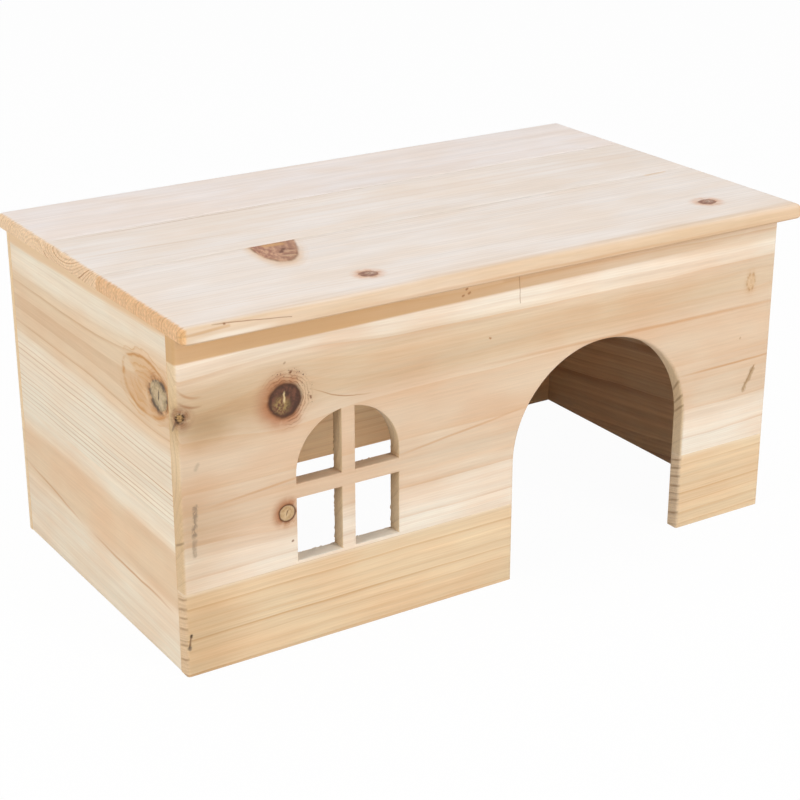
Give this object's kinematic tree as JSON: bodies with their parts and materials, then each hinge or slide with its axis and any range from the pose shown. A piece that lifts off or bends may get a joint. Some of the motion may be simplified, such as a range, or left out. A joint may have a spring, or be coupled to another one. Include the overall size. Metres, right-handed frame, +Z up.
{
  "type": "rabbit house",
  "caption": "Free-standing wooden rabbit house with an arched doorway, an arched cross-barred window, an open underside and a fixed flat overhanging roof.",
  "frame": {"origin": "on the ground below the middle of the roof", "axes": "+X to the right along the front, +Y from the front to the back, +Z up"},
  "size_m": [0.416, 0.246, 0.205],
  "materials": {
    "roof_wood": "sanded, unfinished",
    "front_wood": "sanded, unfinished",
    "side_wood": "sanded, unfinished",
    "back_wood": "sanded, unfinished",
    "steel": "galvanised wire"
  },
  "bodies": {
    "root": {"roof_front_board": "roof_wood", "roof_middle_board": "roof_wood", "roof_back_board": "roof_wood", "front_upper_board": "front_wood", "front_lower_left_board": "front_wood", "front_lower_right_board": "front_wood", "left_upper_board": "side_wood", "left_lower_board": "side_wood", "right_upper_board": "side_wood", "right_lower_board": "side_wood", "back_upper_board": "back_wood", "back_lower_board": "back_wood", "front_left_staples": "steel", "front_right_staples": "steel", "back_left_staples": "steel", "back_right_staples": "steel", "roof_front_pins": "steel", "roof_back_pins": "steel", "roof_left_pins": "steel", "roof_right_pins": "steel"}
  },
  "joints": []
}
